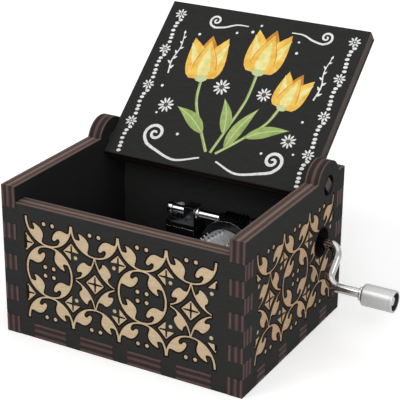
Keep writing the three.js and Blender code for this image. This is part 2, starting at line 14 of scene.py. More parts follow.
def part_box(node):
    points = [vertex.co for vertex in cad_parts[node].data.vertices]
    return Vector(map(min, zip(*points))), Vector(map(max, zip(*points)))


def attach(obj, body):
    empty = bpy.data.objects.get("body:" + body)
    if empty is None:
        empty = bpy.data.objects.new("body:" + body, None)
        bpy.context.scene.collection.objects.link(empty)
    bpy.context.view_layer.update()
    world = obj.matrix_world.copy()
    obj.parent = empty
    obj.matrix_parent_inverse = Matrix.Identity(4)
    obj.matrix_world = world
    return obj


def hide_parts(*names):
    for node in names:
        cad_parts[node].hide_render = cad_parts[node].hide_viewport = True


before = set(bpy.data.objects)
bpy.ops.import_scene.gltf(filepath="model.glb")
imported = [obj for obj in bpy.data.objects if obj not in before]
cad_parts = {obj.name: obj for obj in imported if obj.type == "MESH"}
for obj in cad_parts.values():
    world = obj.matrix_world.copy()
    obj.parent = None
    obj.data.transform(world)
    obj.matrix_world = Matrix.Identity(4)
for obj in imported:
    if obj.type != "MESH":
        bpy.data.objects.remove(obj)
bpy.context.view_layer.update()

MM = 0.001

# Sizes and places of the CAD part that the pieces repeat
SHAFT_Y, SHAFT_Z = 13.9, 22.5
CYLINDER_X, CYLINDER_Z = 9.0, 16.8
CRANK_ANGLE = math.radians(-47)
HALF_WIDTH, HALF_DEPTH = 32.0, 25.6
PLY, LID_PLY = 3.9, 3.8
GAP = 0.05
SIDE_TOP = 38.1
WALL_TOP = SIDE_TOP - LID_PLY - GAP
PIVOT_SETBACK = 5.15
PIVOT_Y = HALF_DEPTH - PLY - PIVOT_SETBACK
PIVOT_Z = 36.2
LID_ANGLE = (math.atan2(LID_PLY / 2, PIVOT_SETBACK)
             + math.asin((LID_PLY / 2 + GAP) / math.hypot(PIVOT_SETBACK, LID_PLY / 2)))


# ---- materials ----


def srgb(red, green, blue):
    """A colour from 0 to 255, made linear for a shader."""
    def linear(value):
        value /= 255
        return value / 12.92 if value <= 0.04045 else ((value + 0.055) / 1.055) ** 2.4
    return (linear(red), linear(green), linear(blue), 1.0)


def put(tree, kind, inputs, output, **settings):
    """Adds a shader node and returns one of its outputs; an input takes a value or another node's output."""
    node = tree.nodes.new("ShaderNode" + kind)
    for name, value in settings.items():
        setattr(node, name, value)
    for key, value in inputs.items():
        if isinstance(value, bpy.types.NodeSocket):
            tree.links.new(value, node.inputs[key])
        else:
            node.inputs[key].default_value = value
    return node.outputs[output]


# Sockets of a Mix node that mixes colours
MIX_FACTOR, MIX_FIRST, MIX_SECOND, MIX_RESULT = 0, 6, 7, 2


class Finish:
    """A Principled material and the nodes that drive it."""

    def __init__(self, name, roughness=0.5, metallic=0.0, specular=0.5):
        self.material = bpy.data.materials.new(name)
        self.material.use_nodes = True
        self.tree = self.material.node_tree
        self.shader = self.tree.nodes["Principled BSDF"].inputs
        self.shader["Roughness"].default_value = roughness
        self.shader["Metallic"].default_value = metallic
        self.shader["Specular IOR Level"].default_value = specular
        self.place = self.tree.nodes.new("ShaderNodeTexCoord").outputs["Object"]

    def noise(self, scale, detail, roughness, stretch=(1, 1, 1)):
        """Noise in object coordinates, which are first scaled along each axis."""
        place = put(self.tree, "Mapping", {"Vector": self.place, "Scale": stretch}, "Vector")
        inputs = {"Vector": place, "Scale": scale, "Detail": detail, "Roughness": roughness}
        return put(self.tree, "TexNoise", inputs, "Fac")

    def ramp(self, value, stops):
        """A colour ramp; stops hold pairs of place and colour."""
        node = self.tree.nodes.new("ShaderNodeValToRGB")
        elements = node.color_ramp.elements
        while len(elements) < len(stops):
            elements.new(0.5)
        for element, (place, shade) in zip(elements, stops):
            element.position = place
            element.color = srgb(*shade)
        self.tree.links.new(value, node.inputs["Fac"])
        return node.outputs["Color"]

    def mix(self, factor, first, second):
        inputs = {MIX_FACTOR: factor, MIX_FIRST: first, MIX_SECOND: second}
        return put(self.tree, "Mix", inputs, MIX_RESULT, data_type="RGBA")

    def range(self, value, low, high):
        """A value from 0 to 1 carried to a range."""
        return put(self.tree, "MapRange", {"Value": value, "To Min": low, "To Max": high}, "Result")

    def dressed(self, colour, grain, roughness, bump):
        """The material with a colour, and with a roughness and a bump that follow one grain."""
        inputs = {"Height": grain, "Strength": bump[0], "Distance": bump[1] * MM}
        for name, value in (("Base Color", colour), ("Roughness", self.range(grain, *roughness)),
                            ("Normal", put(self.tree, "Bump", inputs, "Normal"))):
            self.tree.links.new(value, self.shader[name])
        return self.material


def speckled(name, low, high, scale, roughness, bump=(0.1, 0.05), metallic=0.0, specular=0.5, stretch=(1, 1, 1)):
    """A material whose colour, roughness and height follow one fine noise."""
    finish = Finish(name, metallic=metallic, specular=specular)
    grain = finish.noise(scale, 4, 0.6, stretch)
    return finish.dressed(finish.ramp(grain, [(0.3, low), (0.7, high)]), grain, roughness, bump)


def painted(name, low, high):
    """Matt paint on plywood, with its faint long grain and a few paler rubbed specks."""
    finish = Finish(name, specular=0.03)
    grain = finish.noise(260, 5, 0.65, (1, 9, 9))
    fine = finish.noise(2600, 2, 0.5)
    paint, specks = finish.ramp(grain, [(0.3, low), (0.7, high)]), finish.ramp(fine, [(0.35, low), (0.75, high)])
    return finish.dressed(finish.mix(0.35, paint, specks), grain, (0.7, 0.9), (0.25, 0.04))


def ply_edge(name, stops, soot, soot_share):
    """Laser-cut edge: plies seen along the panel's own Z, browned and sooty, with fine striations."""
    finish = Finish(name, specular=0.12)
    wobble = finish.range(finish.noise(380, 3, 0.6, (1, 1, 0.3)), -0.035, 0.035)
    height = put(finish.tree, "SeparateXYZ", {0: finish.place}, "Z")
    depth = put(finish.tree, "Math", {0: height, 1: -1 / (PLY * MM), 2: wobble}, 0, operation="MULTIPLY_ADD")
    grime = finish.noise(900, 4, 0.7, (1, 1, 0.25))
    colour = finish.mix(finish.range(grime, 0.0, soot_share), finish.ramp(depth, stops), srgb(*soot))
    return finish.dressed(colour, grime, (0.6, 0.85), (0.4, 0.05))


def plies(dark, brown, light, line=0.09):
    """Stops of five plies: pale at both faces and in the middle, dark glue and cross plies between them."""
    return [(0.0, dark), (0.05, light), (0.05 + line, light), (0.1 + line, dark), (0.33, dark), (0.38, brown),
            (0.48, light), (0.56, brown), (0.61, dark), (0.86 - line, dark), (0.92 - line, light), (0.94, light),
            (0.98, dark)]


def bare_wood(name, tones, pore):
    """Floor of the engraving: pale birch, slightly singed, with short dark pores."""
    finish = Finish(name, specular=0.2)
    grain = finish.noise(300, 4, 0.6, (1, 7, 7))
    pores = finish.noise(3200, 2, 0.6, (0.5, 1, 1))
    base = finish.ramp(grain, list(zip((0.25, 0.55, 0.8), tones)))
    colour = finish.mix(finish.range(pores, -0.5, 0.75), base, srgb(*pore))
    return finish.dressed(colour, pores, (0.7, 0.9), (0.4, 0.04))


def turned(name, low, high, roughness, ring_scale, bump=0.12):
    """Turned or drawn metal with fine rings round its own Z axis."""
    finish = Finish(name, metallic=1.0)
    rings = finish.noise(ring_scale, 2, 0.5, (0.02, 0.02, 1))
    return finish.dressed(finish.ramp(rings, [(0.3, low), (0.7, high)]), rings, roughness, (bump, 0.02))


def ground(name, low, high, scale, metallic=1.0, stretch=(1, 1, 1)):
    """Ground or plated metal with a shallow grain."""
    return speckled(name, low, high, scale, (0.25, 0.4), (0.1, 0.01), metallic, stretch=stretch)


PAINT = painted("charcoal_paint", (40, 40, 40), (52, 52, 51))
# The charcoal paint darkened for the inner faces and the bottom plate: painted shade of the box's inside.
INSIDE_PAINTED_SHADE = painted("inside_paint_painted_shade", (27, 27, 27), (36, 36, 36))
# Brown char of the laser cuts, and a near black that is painted shade.
CHAR, SHADE_BLACK = (44, 37, 37), (9, 7, 7)
EDGE = ply_edge("laser_cut_edge", plies(CHAR, (77, 58, 55), (96, 76, 72)), CHAR, 0.5)
# Level top edges of the walls: the plies in paler tones than the other cut edges, painted light from above and
# painted sheen.
TOP_EDGE_PAINTED_LIGHT = ply_edge("top_edge_painted_light", [
    (0.0, (78, 64, 59)), (0.05, (108, 92, 86)), (0.13, (108, 91, 85)), (0.21, (66, 51, 47)), (0.32, (74, 58, 53)),
    (0.4, (106, 88, 81)), (0.48, (136, 117, 109)), (0.56, (108, 90, 83)), (0.66, (74, 60, 55)), (0.76, (66, 51, 47)),
    (0.84, (90, 74, 69)), (0.91, (108, 93, 87)), (0.96, (92, 77, 72)), (1.0, (80, 66, 61))], (70, 54, 50), 0.3)
# The lid's lower rim: the ply edge darkened nearly to black, painted shade under the lid.
SHADED_EDGE = ply_edge("shaded_edge", plies(SHADE_BLACK, (40, 28, 27), (50, 36, 34), 0.04), SHADE_BLACK, 0.3)
EAR_EDGE = ply_edge("ear_edge", plies((40, 34, 32), (88, 64, 56), (100, 84, 78), 0.03), CHAR, 0.4)
LID_EDGE = ply_edge("lid_edge", [
    (0.0, (38, 34, 31)), (0.06, (80, 70, 62)), (0.3, (88, 78, 70)), (0.34, (66, 57, 51)), (0.4, (86, 76, 68)),
    (0.6, (80, 69, 62)), (0.7, (34, 29, 27)), (1.0, (30, 27, 26))], (40, 35, 32), 0.5)
# Near-black walls of the holes: partly laser soot, partly painted shade inside the hole.
HOLE_SOOT_AND_SHADE = speckled("hole_soot_and_painted_shade", (9, 8, 8), (17, 14, 13), 1200, (0.7, 0.9), specular=0.1)
BARE = bare_wood("engraved_birch", ((186, 163, 131), (199, 179, 147), (208, 191, 163)), (169, 140, 105))
# A browner copy of the engraved birch for the side walls: painted shade of the sides.
SIDE_BARE_PAINTED_SHADE = bare_wood("engraved_side_painted_shade", ((173, 143, 112), (185, 157, 126), (194, 168, 140)), (157, 123, 90))
SCORCHED = speckled("scorched_paint", (18, 12, 8), (34, 24, 17), 900, (0.8, 0.95), specular=0.03)
BURNT = speckled("burnt_rim", (30, 20, 14), (62, 42, 28), 1500, (0.7, 0.9), specular=0.15)
PLASTIC = speckled("moulded_black", (9, 9, 10), (15, 15, 16), 1800, (0.2, 0.3), (0.05, 0.02), specular=0.3)
# Light grey, nearly metal bevels of the black frame: a painted highlight along its eased edges.
EDGE_HIGHLIGHT = speckled("painted_highlight_edges", (200, 200, 202), (224, 224, 226), 1800, (0.2, 0.3), (0.05, 0.02), 0.85, 1.0)
POLISHED = speckled("polished_black", (13, 13, 14), (20, 20, 21), 1500, (0.1, 0.18), (0.05, 0.02), specular=1.0)
POLISHED.node_tree.nodes["Principled BSDF"].inputs["Coat Weight"].default_value = 1.0
# Gear and worm: black nylon, darkened further as painted shade inside the movement.
NYLON_AND_SHADE = speckled("nylon_black_painted_shade", (3, 3, 3), (7, 7, 7), 1500, (0.6, 0.75), (0.08, 0.02), specular=0.03)
CHROME = turned("chrome_rod", (164, 163, 162), (178, 177, 176), (0.12, 0.17), 900, 0.02)
SATIN = turned("satin_knob", (169, 169, 169), (180, 180, 180), (0.38, 0.46), 2400, 0.03)
# Inside of the knob's hollow end: a dark, non-metal colour that is painted shade in the hollow.
HOLLOW_SHADE = speckled("knob_inside_painted_shade", (16, 16, 17), (30, 30, 31), 1200, (0.5, 0.7))
STEEL = turned("bright_steel", (196, 198, 200), (216, 218, 220), (0.22, 0.34), 3000)
COMB_STEEL = ground("ground_steel", (158, 160, 163), (190, 192, 195), 700, stretch=(0.1, 3, 3))
DRUM_STEEL = ground("satin_drum", (214, 216, 218), (240, 241, 242), 900, 0.6)
SCREW_STEEL = ground("zinc_screw", (206, 208, 210), (228, 230, 232), 1600, 0.5)
PIN_STEEL = ground("pin_steel", (120, 121, 124), (190, 192, 195), 2500)
BRASS = turned("turned_brass", (186, 152, 80), (206, 174, 104), (0.24, 0.36), 2600)


# ---- making pieces ----


def moved(x, y, z):
    """A matrix that moves by millimetres."""
    return Matrix.Translation(Vector((x, y, z)) * MM)


def welded(mesh, distance):
    """A mesh opened for editing, its points welded where they are closer than a distance."""
    work = bmesh.new()
    work.from_mesh(mesh)
    bmesh.ops.remove_doubles(work, verts=work.verts, dist=distance)
    return work


def show(name, data):
    """A new object in the scene."""
    thing = bpy.data.objects.new(name, data)
    bpy.context.scene.collection.objects.link(thing)
    return thing


def finish_shading(mesh, smooth):
    mesh.polygons.foreach_set("use_smooth", [smooth > 0] * len(mesh.polygons))
    if smooth > 0:
        mesh.set_sharp_from_angle(angle=math.radians(smooth))
    mesh.update()


def build(name, vertices, faces, materials, choice=None, place=None, smooth=30):
    """A piece from points in its own frame, in millimetres, welded, with sharp edges above an angle."""
    mesh = bpy.data.meshes.new(name)
    mesh.from_pydata([Vector(point) * MM for point in vertices], [], [list(face) for face in faces])
    for material in materials:
        mesh.materials.append(material)
    if choice is not None:
        mesh.polygons.foreach_set("material_index", list(choice))
    work = welded(mesh, 1e-7)
    bmesh.ops.dissolve_degenerate(work, edges=work.edges, dist=1e-8)
    work.to_mesh(mesh)
    work.free()
    finish_shading(mesh, smooth)
    piece = show(name, mesh)
    if place is not None:
        piece.matrix_world = place
    return piece


def settle(piece, body, slot, *nodes):
    """The piece rides on a body and stands for its CAD nodes, which are hidden; the slot argument is not used."""
    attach(piece, body)
    if nodes:
        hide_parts(*nodes)


# ---- flat panels ----

EASE = 0.1
ENGRAVE_DEPTH = 0.1
SLOPE = 0.08
SHARPEST_FOOT = 0.4

# Limits below which points are one, a point is on a line, and a corner of a rim is straight
WELD = 1e-4
ON_LINE = 2e-5
STRAIGHT = 0.01

# Material slots of a panel, which are also the codes of the layers on its face
STANDING, ENGRAVED, CUT_SLOPE, SIDE, INNER, SHADED, EAR, TOP, HOLE, EXTRA = range(10)


def signed_area(loop):
    x, y = np.asarray(loop).T
    return 0.5 * float(np.sum(x * np.roll(y, -1) - np.roll(x, -1) * y))


def headings(loop):
    """Unit vectors along the sides of a closed loop."""
    ahead = np.roll(loop, -1, axis=0) - loop
    return ahead / np.maximum(np.linalg.norm(ahead, axis=1), 1e-9)[:, None]


def face_rims(node, place):
    """Rims of a CAD node's face in the plane Z = 0 of a frame, in millimetres; holes run clockwise."""
    work = welded(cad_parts[node].data, 1e-6)
    work.transform(place.inverted())
    work.normal_update()
    sides = {}
    for face in work.faces:
        if face.normal.z > 0.99 and max(abs(vertex.co.z) for vertex in face.verts) < 1e-5:
            sides.update({(corner.vert, corner.link_loop_next.vert): True for corner in face.loops})
    step = {start: end for start, end in sides if (end, start) not in sides}
    rims = []
    while step:
        start, here = step.popitem()
        chain = [start]
        while here != start:
            chain.append(here)
            here = step.pop(here)
        points = np.array([vertex.co.xy for vertex in chain]) / MM
        ahead = headings(points)
        last = np.roll(ahead, 1, axis=0)
        rims.append(points[np.abs(last[:, 0] * ahead[:, 1] - last[:, 1] * ahead[:, 0]) > STRAIGHT])
    work.free()
    return sorted(rims, key=signed_area, reverse=True)


def inset(loop, distance, sharpest=0.0):
    """A rim moved into the material by a distance, with mitred corners; a limit keeps the sharpest ones short."""
    normal = headings(loop)[:, ::-1] * (-1, 1)
    last = np.roll(normal, 1, axis=0)
    scale = np.maximum(1 + np.sum(normal * last, axis=1), sharpest)[:, None]
    return loop + distance * (normal + last) / scale


def grown(shape, distance, sharpest=0.0):
    """A closed shape made larger by a distance on every side."""
    return inset(shape, -math.copysign(distance, signed_area(shape)), sharpest)


def divide(rims, layers):
    """Triangles of a face with rims, each with the code of the last layer that covers it, or STANDING."""
    points, faces, codes = [], [], []
    for loop, code in [(rim, "rim") for rim in rims] + list(layers):
        area = signed_area(loop)
        if code == "rim" and area < 0:
            code = "hole"
        order = range(len(loop)) if area > 0 else range(len(loop) - 1, -1, -1)
        faces.append([len(points) + index for index in order])
        points.extend(Vector((float(x), float(y))) for x, y in loop)
        codes.append(code)
    places, _, triangles, _, _, owners = delaunay_2d_cdt(points, [], faces, 0, 1e-5, True)
    kept, kinds = [], []
    for triangle, cover in zip(triangles, owners):
        names = [codes[index] for index in sorted(cover)]
        if "rim" in names and "hole" not in names:
            numbers = [name for name in names if name != "rim"]
            kept.append(triangle)
            kinds.append(numbers[-1] if numbers else STANDING)
    return [tuple(place) for place in places], kept, kinds


def slope_foot(places, brink):
    """Places of a sunk face's points, those on its brink moved inwards, so that its walls slope."""
    foot = [Vector(place) for place in places]
    leaving, coming = {}, {}
    for start, end in brink:
        leaving.setdefault(start, []).append(end)
        coming.setdefault(end, []).append(start)
    for index, ends in leaving.items():
        if len(ends) == len(coming[index]) == 1:
            before, here, after = (Vector(places[spot]) for spot in (coming[index][0], index, ends[0]))
            last, own = (Vector((-along.y, along.x)).normalized() for along in (here - before, after - here))
            foot[index] = here + SLOPE * ((last + own) / max(1 + last.dot(own), SHARPEST_FOOT))
    return [tuple(place) for place in foot]


def points_between(points, start, end):
    """Those of the points that lie on the line from start to end, in its order, its ends left out."""
    length = np.linalg.norm(end - start)
    ahead = (end - start) / length
    offset = points - start
    along = offset @ ahead
    aside = np.abs(offset[:, 0] * ahead[1] - offset[:, 1] * ahead[0])
    chosen = np.flatnonzero((along > WELD) & (along < length - WELD) & (aside < ON_LINE))
    return points[chosen[np.argsort(along[chosen])]]


class Skin:
    """Collects the faces of a panel in its own frame, where the outer face is at Z = 0."""

    def __init__(self):
        self.vertices, self.faces, self.choice = [], [], []

    def add(self, corners, material):
        start = len(self.vertices)
        self.vertices.extend(corners)
        self.faces.append(range(start, start + len(corners)))
        self.choice.append(material)

    def surface(self, rims, layers):
        """The outer face, its engraved triangles sunk, with slopes round them; returns the places of its points."""
        places, triangles, kinds = divide(rims, layers)
        sunk = {(start, end) for triangle, kind in zip(triangles, kinds) if kind == ENGRAVED
                for start, end in zip(triangle, triangle[1:] + triangle[:1])}
        brink = [(start, end) for start, end in sunk if (end, start) not in sunk]
        foot = slope_foot(places, brink)
        for triangle, kind in zip(triangles, kinds):
            if kind == ENGRAVED:
                self.add([(*foot[index], -ENGRAVE_DEPTH) for index in triangle], kind)
            else:
                self.add([(*places[index], 0) for index in triangle], kind)
        for start, end in brink:
            self.add([(*foot[start], -ENGRAVE_DEPTH), (*places[start], 0), (*places[end], 0),
                      (*foot[end], -ENGRAVE_DEPTH)], CUT_SLOPE)
        return np.array(places)

    def rim_band(self, upper, upper_level, lower, lower_level, choose, crossings=np.empty((0, 2))):
        """A band between two rims, split at the crossings: points of the face that lie on the upper rim."""
        for number, (rim_up, rim_down) in enumerate(zip(upper, lower)):
            for index in range(len(rim_up)):
                after = (index + 1) % len(rim_up)
                material = choose(number, rim_up[index], rim_up[after])
                corners = [(*rim_down[index], lower_level), (*rim_down[after], lower_level),
                           (*rim_up[after], upper_level), (*rim_up[index], upper_level)]
                between = points_between(crossings, rim_up[after], rim_up[index])
                if len(between):
                    corners[3:3] = [(*point, upper_level) for point in between]
                    for second, third in zip(corners[1:], corners[2:]):
                        self.add([corners[0], second, third], material)
                else:
                    self.add(corners, material)


def panel(name, node, place, layers, materials, wood=BARE, inner=INSIDE_PAINTED_SHADE, ply=PLY, edge=EDGE):
    """A plywood panel: the CAD outline with eased edges, its layers engraved or printed on the outer face."""
    rims = face_rims(node, place)
    eased = [inset(rim, EASE) for rim in rims]

    def choose(number, start, end):
        """Holes have near-black walls of soot and painted shade; the lid's lower rim has painted shade, the level top
        edge painted light, and the ears a finish of their own.
        """
        height = (start[1] + end[1]) / 2
        if number:
            return HOLE
        if edge is LID_EDGE:
            return SHADED if height < 0 else SIDE
        if height > SIDE_TOP + EASE / 2:
            return EAR
        return TOP if height > WALL_TOP - 1.5 * EASE and abs(end[1] - start[1]) < EASE else SIDE

    skin = Skin()
    crossings = skin.surface(eased, layers)
    skin.rim_band(eased, 0, rims, -EASE, choose, crossings)
    skin.rim_band(rims, -EASE, rims, EASE - ply, choose)
    skin.rim_band(rims, EASE - ply, eased, -ply, choose)
    places, triangles, _ = divide(eased, ())
    for triangle in triangles:
        skin.add([(*places[index], -ply) for index in reversed(triangle)], INNER)
    palette = [PAINT, wood, BURNT, edge, inner, SHADED_EDGE, EAR_EDGE, TOP_EDGE_PAINTED_LIGHT, HOLE_SOOT_AND_SHADE, *materials]
    return build(name, skin.vertices, skin.faces, palette, skin.choice, place, 25)


# ---- engraved scrollwork ----

CELL_X, CELL_Z = 6.3, 6.53
STEM_RADIUS, STEM_WIDTH, STEM_THIN = 0.985, 0.64, 0.48
TWIG_RADIUS, TWIG_FLARE = 0.925, 0.055
TWIG_WIDTH, TWIG_THINNING = 0.56, 0.3
TWIG_START, TWIG_END = math.radians(-1), math.radians(-81)
DOT_RADIUS = 0.56
LEAF_GROWTH = 0.04
STAR_SIZE, INNER_STAR_SIZE = 2.3, 2.5
CROSS_LENGTH, CROSS_MIDDLE, CROSS_TIP = 0.74, 0.2, 0.1
SCORCH = EXTRA
SCORCH_WIDTH, SHARPEST_MITRE = 0.3, 0.8

# Past the outer cells the stars go on for a margin; in a diamond cell a cover hides a quarter of each star
STAR_MARGIN = 0.25
COVER_REACH, COVER_OVERLAP, OUTER_OVERLAP = 3, 0.12, 0.6

# Free outlines of the leaves, from the stem round the tip and back, in millimetres from the middle of their circle
LEAF_LEFT = [
    [(-5.45, -2.75), (-5.0, -2.98), (-4.5, -3.05), (-4.05, -2.98), (-3.9, -2.65), (-4.02, -2.2), (-4.35, -1.38)],
    [(-4.35, -1.38), (-3.75, -1.45), (-3.2, -1.68), (-2.6, -2.05), (-2.05, -2.55), (-1.65, -3.15), (-1.52, -3.8),
     (-1.6, -4.5), (-1.8, -5.1), (-1.88, -5.5), (-1.75, -5.85), (-1.3, -6.2)],
]
LEAF_RIGHT = [
    [(6.0, -1.5), (5.6, -2.0), (4.95, -2.12), (4.2, -1.92), (3.5, -1.8), (2.9, -1.88), (2.3, -2.2), (1.75, -2.75),
     (1.35, -3.35), (1.1, -4.0), (1.1, -4.4), (1.35, -4.75)],
    [(1.35, -4.75), (1.9, -4.62), (2.25, -4.2), (2.65, -4.0), (3.0, -4.15), (3.1, -4.55), (2.95, -5.0),
     (2.6, -5.5), (2.2, -5.95)],
]
TWIG_LEAF_RIGHT = [
    [(5.25, -2.2), (4.9, -2.15), (4.5, -2.15), (4.15, -2.0), (3.8, -1.75), (3.35, -1.66), (2.85, -1.88),
     (2.3, -2.35), (1.8, -2.95), (1.5, -3.55), (1.4, -4.0), (1.6, -4.45)],
    [(1.6, -4.45), (2.1, -4.35), (2.55, -4.25), (2.8, -4.45), (2.75, -4.8), (2.55, -5.15), (2.4, -5.4)],
]
TWIG_LEAF_LEFT = [
    [(-5.0, -2.5), (-4.75, -2.15), (-4.45, -1.95), (-4.3, -1.5), (-4.15, -0.95)],
    [(-4.15, -0.95), (-3.7, -1.05), (-3.1, -1.4), (-2.6, -1.9), (-2.2, -2.5), (-1.98, -3.1), (-2.05, -3.65),
     (-2.4, -4.05), (-2.7, -4.3), (-2.75, -4.75), (-2.55, -5.2), (-2.3, -5.45)],
]


def smooth_line(points, steps=4):
    """An open Catmull-Rom curve through points."""
    points = np.array(points, float)
    padded = np.vstack([2 * points[0] - points[1], points, 2 * points[-1] - points[-2]])
    curve = []
    for index in range(len(points) - 1):
        before, start, end, after = padded[index:index + 4]
        for step in range(steps):
            t = step / steps
            curve.append(0.5 * (2 * start + (end - before) * t + (2 * before - 5 * start + 4 * end - after) * t * t
                                + (3 * start - before - 3 * end + after) * t ** 3))
    curve.append(points[-1])
    return np.array(curve)


def stroke(points, widths):
    """Outline of a line with a width at each point."""
    points = np.asarray(points, float)
    ahead = np.gradient(points, axis=0)
    ahead /= np.linalg.norm(ahead, axis=1)[:, None]
    side = np.stack([-ahead[:, 1], ahead[:, 0]], axis=1) * (np.broadcast_to(widths, len(points)) / 2)[:, None]
    return np.vstack([points + side, (points - side)[::-1]])


def dot(x, y, radius, sides=14, squash=1.0):
    angles = 2 * np.pi * (np.arange(sides) + 0.5) / sides
    return np.stack([x + radius * np.cos(angles), y + radius * squash * np.sin(angles)], axis=1)


def rotated(points, angle):
    cosine, sine = math.cos(angle), math.sin(angle)
    return np.asarray(points) @ np.array([[cosine, sine], [-sine, cosine]])


def arc(centre, radius, start, end, count):
    angles = np.linspace(start, end, count)
    ring = np.stack([CELL_X * np.cos(angles), CELL_Z * np.sin(angles)], axis=1)
    return np.asarray(centre) + ring * np.broadcast_to(radius, count)[:, None]


def leaf(outline, radius):
    """A leaf closed along the middle of the stem that carries it."""
    free = np.vstack([smooth_line(part)[:-1] for part in outline[:-1]] + [smooth_line(outline[-1])])
    start, end = (math.atan2(y / CELL_Z, x / CELL_X) for x, y in (free[0], free[-1]))
    return grown(np.vstack([free, arc((0, 0), radius, end, start, 12)]), LEAF_GROWTH)


def hanging_arc():
    """Lower half of a circle with its two leaves and two dots."""
    angles = np.linspace(math.pi, 2 * math.pi, 41)
    width = STEM_THIN + (STEM_WIDTH - STEM_THIN) * np.abs(np.cos(angles))
    return [
        stroke(arc((0, 0), STEM_RADIUS, math.pi, 2 * math.pi, 41), width),
        leaf(LEAF_LEFT, STEM_RADIUS), leaf(LEAF_RIGHT, STEM_RADIUS),
        dot(-1.2, -1.12, DOT_RADIUS), dot(1.2, -1.12, DOT_RADIUS),
    ]


def twigs():
    """The two upper twigs of a diamond cell with their leaves and dots."""
    share = np.linspace(-1, 1, 25) ** 2
    radius = TWIG_RADIUS + TWIG_FLARE * share
    width = TWIG_WIDTH * (1 - TWIG_THINNING * share)
    left, right = np.array((-CELL_X, CELL_Z)), np.array((CELL_X, CELL_Z))
    return [
        stroke(arc(left, radius, TWIG_START, TWIG_END, 25), width),
        leaf(TWIG_LEAF_RIGHT, TWIG_RADIUS) + left,
        stroke(arc(right, radius, math.pi - TWIG_START, math.pi - TWIG_END, 25), width),
        leaf(TWIG_LEAF_LEFT, TWIG_RADIUS) + right,
        dot(-5.2, 5.4, DOT_RADIUS), dot(5.2, 5.4, DOT_RADIUS),
    ]


def star(size):
    """Layers of a square on its point with a dark cross in it."""
    slit = CROSS_LENGTH * size
    upright = np.array([(-CROSS_MIDDLE, 0), (-CROSS_TIP, -slit), (CROSS_TIP, -slit),
                        (CROSS_MIDDLE, 0), (CROSS_TIP, slit), (-CROSS_TIP, slit)])
    square = np.array([(size, 0), (0, size), (-size, 0), (0, -size)])
    return [(square, ENGRAVED), (upright, SCORCH), (upright[:, ::-1], SCORCH)]


def rectangle(left, right, bottom, top):
    return np.array([(left, bottom), (right, bottom), (right, top), (left, top)])


def within(shape, limit):
    """The part of a convex shape between two upright lines, at minus and plus a limit."""
    for side in (-1, 1):
        kept = []
        for start, end in zip(shape, np.roll(shape, -1, axis=0)):
            stays, next_stays = side * start[0] <= limit, side * end[0] <= limit
            if stays:
                kept.append(start)
            if stays != next_stays:
                kept.append(start + (side * limit - start[0]) / (end[0] - start[0]) * (end - start))
        shape = np.array(kept)
    return shape


def scrollwork(centre, scale, columns, guard=None):
    """Layers of the ornament, a scorched outline under each engraved shape; columns name the middle row's cells."""
    layers = []
    count = len(columns)
    edge = count * CELL_X + STAR_MARGIN
    for index in range(count + 1):
        x = (2 * index - count) * CELL_X
        behind = OUTER_OVERLAP if index in (0, count) else COVER_OVERLAP
        for hand in (1, -1):
            layers += [(within(shape + (x, hand * CELL_Z), edge), code) for shape, code in star(STAR_SIZE)]
            for side, column in ((-1, index - 1), (1, index)):
                if 0 <= column < count and columns[column] == "diamond":
                    across = sorted((x - side * behind, x + side * COVER_REACH))
                    upward = sorted((hand * (CELL_Z + COVER_OVERLAP), hand * (CELL_Z - COVER_REACH)))
                    layers.append((rectangle(*across, *upward), STANDING))
    for index, column in enumerate(columns):
        shift = ((2 * index - count + 1) * CELL_X, 0)
        shapes = [shape + (0, 2 * CELL_Z) for shape in hanging_arc()]
        if column == "ring":
            shapes += hanging_arc()
        else:
            shapes += twigs()
            layers += [(shape + shift, code) for shape, code in star(INNER_STAR_SIZE)]
        layers += [(shape + shift, ENGRAVED) for shape in shapes] + [(shift - shape, ENGRAVED) for shape in shapes]
    outlines = [(grown(shape, SCORCH_WIDTH, SHARPEST_MITRE), SCORCH) for shape, code in layers if code == ENGRAVED]
    layers = [(shape * scale + centre, code) for shape, code in outlines + layers]
    if guard is not None:
        layers.append((guard, STANDING))
    return layers


# ---- printed lid: generic tulips, daisies and scrolls, with the bead borders ----

WHITE, YELLOW, PALE, AMBER, GREEN, LIGHT_GREEN, BROWN = range(EXTRA, EXTRA + 7)


def ink(name, low, high, scale, roughness=(0.5, 0.7), bump=(0.1, 0.02)):
    """Printed colour, a little uneven."""
    return speckled("print_" + name, low, high, scale, roughness, bump, specular=0.25)


PRINTS = [
    ink("white", (205, 206, 204), (240, 240, 238), 1300, (0.55, 0.8), (0.2, 0.02)),
    ink("yellow", (222, 158, 52), (240, 208, 104), 420),
    ink("pale_yellow", (216, 204, 110), (240, 232, 172), 420),
    ink("amber", (172, 110, 36), (214, 152, 60), 420),
    ink("green", (122, 150, 76), (172, 188, 116), 380),
    ink("light_green", (178, 192, 132), (200, 210, 160), 700),
    ink("brown", (70, 50, 42), (96, 70, 58), 900),
]


def petal(length, width):
    """A petal or leaf blade along +Y from the origin."""
    share = np.linspace(0, 1, 10)
    half = width / 2 * np.sin(np.pi * share ** 0.55) ** 0.9
    side = np.stack([half, share * length], axis=1)
    return np.vstack([side, (side * (-1, 1))[::-1][1:-1]])


def daisy(x, y, radius, petals, turn=0.0, heart=WHITE, squash=1.0):
    """Separate rounded petals round a small heart."""
    layers = []
    for index in range(petals):
        ray = rotated(dot(0.63, 0, 0.37, 12, 1.25 / petals / 0.37), turn + 2 * np.pi * index / petals)
        layers.append((ray * (radius, radius * squash) + (x, y), WHITE))
    layers.append((dot(x, y, radius * (0.14 if heart == WHITE else 0.26), 12), heart))
    return layers


